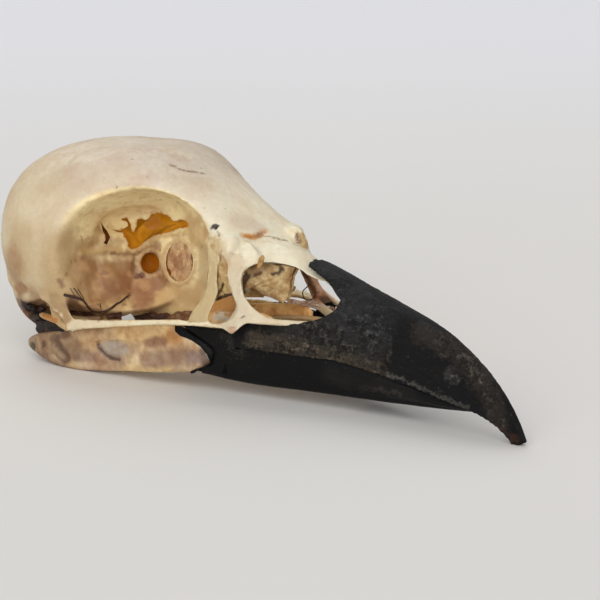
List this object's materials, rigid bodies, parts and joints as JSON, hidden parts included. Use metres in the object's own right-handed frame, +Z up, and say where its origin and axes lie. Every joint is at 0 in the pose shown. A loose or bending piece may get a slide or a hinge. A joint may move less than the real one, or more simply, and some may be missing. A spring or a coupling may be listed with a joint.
{
  "type": "magpie skull",
  "caption": "Dry skull of a magpie at life size, pale bone with a long dark horn-covered bill, lying on its jaw angles and bill tip.",
  "frame": {"origin": "on the surface the skull lies on, under the middle of its length and width", "axes": "+X toward the tip of the bill, +Y toward the bird's left, +Z up"},
  "size_m": [0.0798, 0.0306, 0.0283],
  "materials": {
    "bone": null,
    "jaw_bone": null,
    "horn": null,
    "dry_membrane": "dried gristle and skin, tan"
  },
  "bodies": {
    "root": {"cranium": "bone", "upper_jaw": "bone", "upper_sheath": "horn", "mandible": "jaw_bone", "lower_sheath": "horn", "jugal_bar_right": "bone", "jugal_bar_left": "bone", "quadrate_right": "bone", "quadrate_left": "bone", "pterygoid_right": "bone", "pterygoid_left": "bone", "palatine_right": "bone", "palatine_left": "bone", "nasal_septum": "dry_membrane"}
  },
  "joints": []
}
